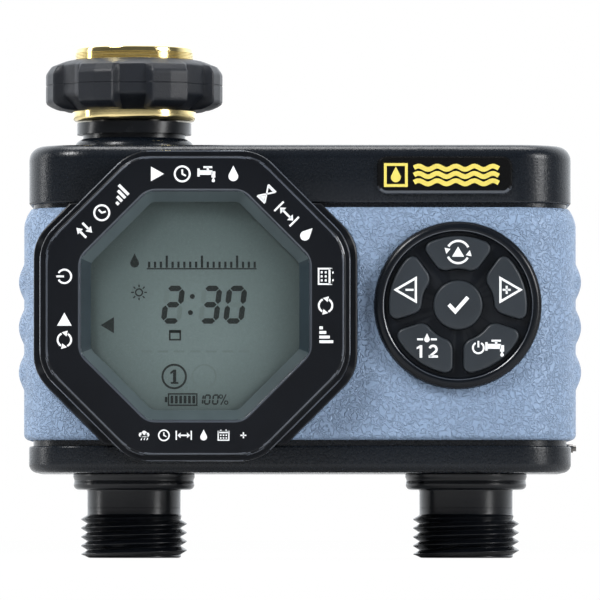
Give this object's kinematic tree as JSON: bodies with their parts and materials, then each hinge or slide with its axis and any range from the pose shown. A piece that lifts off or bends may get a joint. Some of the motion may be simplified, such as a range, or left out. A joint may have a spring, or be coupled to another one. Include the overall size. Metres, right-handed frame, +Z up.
{
  "type": "drip irrigation timer",
  "caption": "Tap-mounted digital hose timer: swivel brass inlet, two threaded outlets, octagonal display, round keypad, rear battery door and solenoid valves inside",
  "frame": {"origin": "on the inlet axis, at the foot of the swivel nut's thread, 0.4 mm above the washer that the tap's spout seals on", "axes": "+Z up along the inlet axis, front with the display faces -Y, +X to the right seen from the front"},
  "size_m": [0.1407, 0.0727, 0.128],
  "materials": {
    "black_abs": "satin moulded ABS with a fine texture",
    "grip_blue": "soft-touch blue grip with a leather-like grain",
    "clear_window": "clear polished acrylic window",
    "lcd_glass": "grey-green liquid crystal glass",
    "button_grey": "satin dark grey keycap with white print",
    "badge_gloss": "gloss black plate with a yellow mark",
    "hose_black": "satin black moulded nylon",
    "brass": "turned and polished brass",
    "seal_rubber": "black nitrile rubber",
    "silicone": "translucent grey silicone",
    "steel": "plain stainless steel",
    "white_nylon": "white nylon",
    "circuit_green": "green solder mask",
    "component_black": "moulded black epoxy",
    "coil_copper": "taped copper winding",
    "wire_red": "red wire sleeve",
    "wire_black": "black wire sleeve",
    "battery_wrap": "printed battery sleeve"
  },
  "bodies": {
    "timer_body": {"front_housing": "black_abs", "rear_housing": "black_abs", "housing_seal": "seal_rubber", "housing_screws": "steel", "grip_band": "grip_blue", "display_bezel": "black_abs", "display_lens": "clear_window", "lcd_panel": "lcd_glass", "lcd_frame": "black_abs", "lcd_connectors": "silicone", "circuit_board": "circuit_green", "board_components": "component_black", "board_screws": "steel", "keypad_bezel": "black_abs", "key_mat": "silicone", "badge_plate": "badge_gloss", "valve_body": "hose_black", "inlet_tailpiece": "hose_black", "inlet_o_ring": "seal_rubber", "inlet_filter": "white_nylon", "inlet_washer": "seal_rubber", "outlet_left": "hose_black", "outlet_right": "hose_black", "outlet_o_rings": "seal_rubber", "diaphragm_left": "seal_rubber", "diaphragm_right": "seal_rubber", "poppet_spring_left": "steel", "poppet_spring_right": "steel", "bonnet_left": "hose_black", "bonnet_right": "hose_black", "bonnet_screws": "steel", "solenoid_left": "coil_copper", "solenoid_right": "coil_copper", "plunger_spring_left": "steel", "plunger_spring_right": "steel", "solenoid_wires": "wire_red", "battery_tray": "hose_black", "batteries": "battery_wrap", "battery_contacts": "steel", "battery_wires": "wire_black", "door_gasket": "seal_rubber", "door_hinge_pin": "steel"},
    "swivel_nut": {"nut_insert": "brass", "nut_grip": "hose_black"},
    "button_ok": {"button_ok": "button_grey"},
    "button_cycle": {"button_cycle": "button_grey"},
    "button_minus": {"button_minus": "button_grey"},
    "button_plus": {"button_plus": "button_grey"},
    "button_zone": {"button_zone": "button_grey"},
    "button_power": {"button_power": "button_grey"},
    "battery_door": {"battery_door": "black_abs"},
    "plunger_left": {"plunger_left": "steel"},
    "poppet_left": {"poppet_left": "white_nylon"},
    "plunger_right": {"plunger_right": "steel"},
    "poppet_right": {"poppet_right": "white_nylon"}
  },
  "joints": [
    {"name": "swivel", "type": "hinge", "parent": "timer_body", "child": "swivel_nut", "pos_m": [0, 0, 0], "axis": [0, 0, 1], "continuous": true},
    {"name": "press_ok", "type": "slide", "parent": "timer_body", "child": "button_ok", "axis": [0, 1, 0], "range_m": [0, 0.001], "stiffness_N_per_m": 1200},
    {"name": "press_cycle", "type": "slide", "parent": "timer_body", "child": "button_cycle", "axis": [0, 1, 0], "range_m": [0, 0.001], "stiffness_N_per_m": 1200},
    {"name": "press_minus", "type": "slide", "parent": "timer_body", "child": "button_minus", "axis": [0, 1, 0], "range_m": [0, 0.001], "stiffness_N_per_m": 1200},
    {"name": "press_plus", "type": "slide", "parent": "timer_body", "child": "button_plus", "axis": [0, 1, 0], "range_m": [0, 0.001], "stiffness_N_per_m": 1200},
    {"name": "press_zone", "type": "slide", "parent": "timer_body", "child": "button_zone", "axis": [0, 1, 0], "range_m": [0, 0.001], "stiffness_N_per_m": 1200},
    {"name": "press_power", "type": "slide", "parent": "timer_body", "child": "button_power", "axis": [0, 1, 0], "range_m": [0, 0.001], "stiffness_N_per_m": 1200},
    {"name": "door_swing", "type": "hinge", "parent": "timer_body", "child": "battery_door", "pos_m": [0.0417, 0.0296, -0.0902], "axis": [-1, 0, 0], "range_deg": [0, 95]},
    {"name": "plunger_lift_left", "type": "slide", "parent": "timer_body", "child": "plunger_left", "axis": [0, 0, 1], "range_m": [0, 0.0015], "deforming": ["plunger_spring_left"]},
    {"name": "poppet_lift_left", "type": "slide", "parent": "timer_body", "child": "poppet_left", "axis": [0, 0, 1], "range_m": [0, 0.0024], "deforming": ["poppet_spring_left"]},
    {"name": "plunger_lift_right", "type": "slide", "parent": "timer_body", "child": "plunger_right", "axis": [0, 0, 1], "range_m": [0, 0.0015], "deforming": ["plunger_spring_right"]},
    {"name": "poppet_lift_right", "type": "slide", "parent": "timer_body", "child": "poppet_right", "axis": [0, 0, 1], "range_m": [0, 0.0024], "deforming": ["poppet_spring_right"]}
  ],
  "couplings": [
    {"joint": "poppet_lift_left", "follows": "plunger_lift_left", "ratio": 1.6},
    {"joint": "poppet_lift_right", "follows": "plunger_lift_right", "ratio": 1.6}
  ]
}
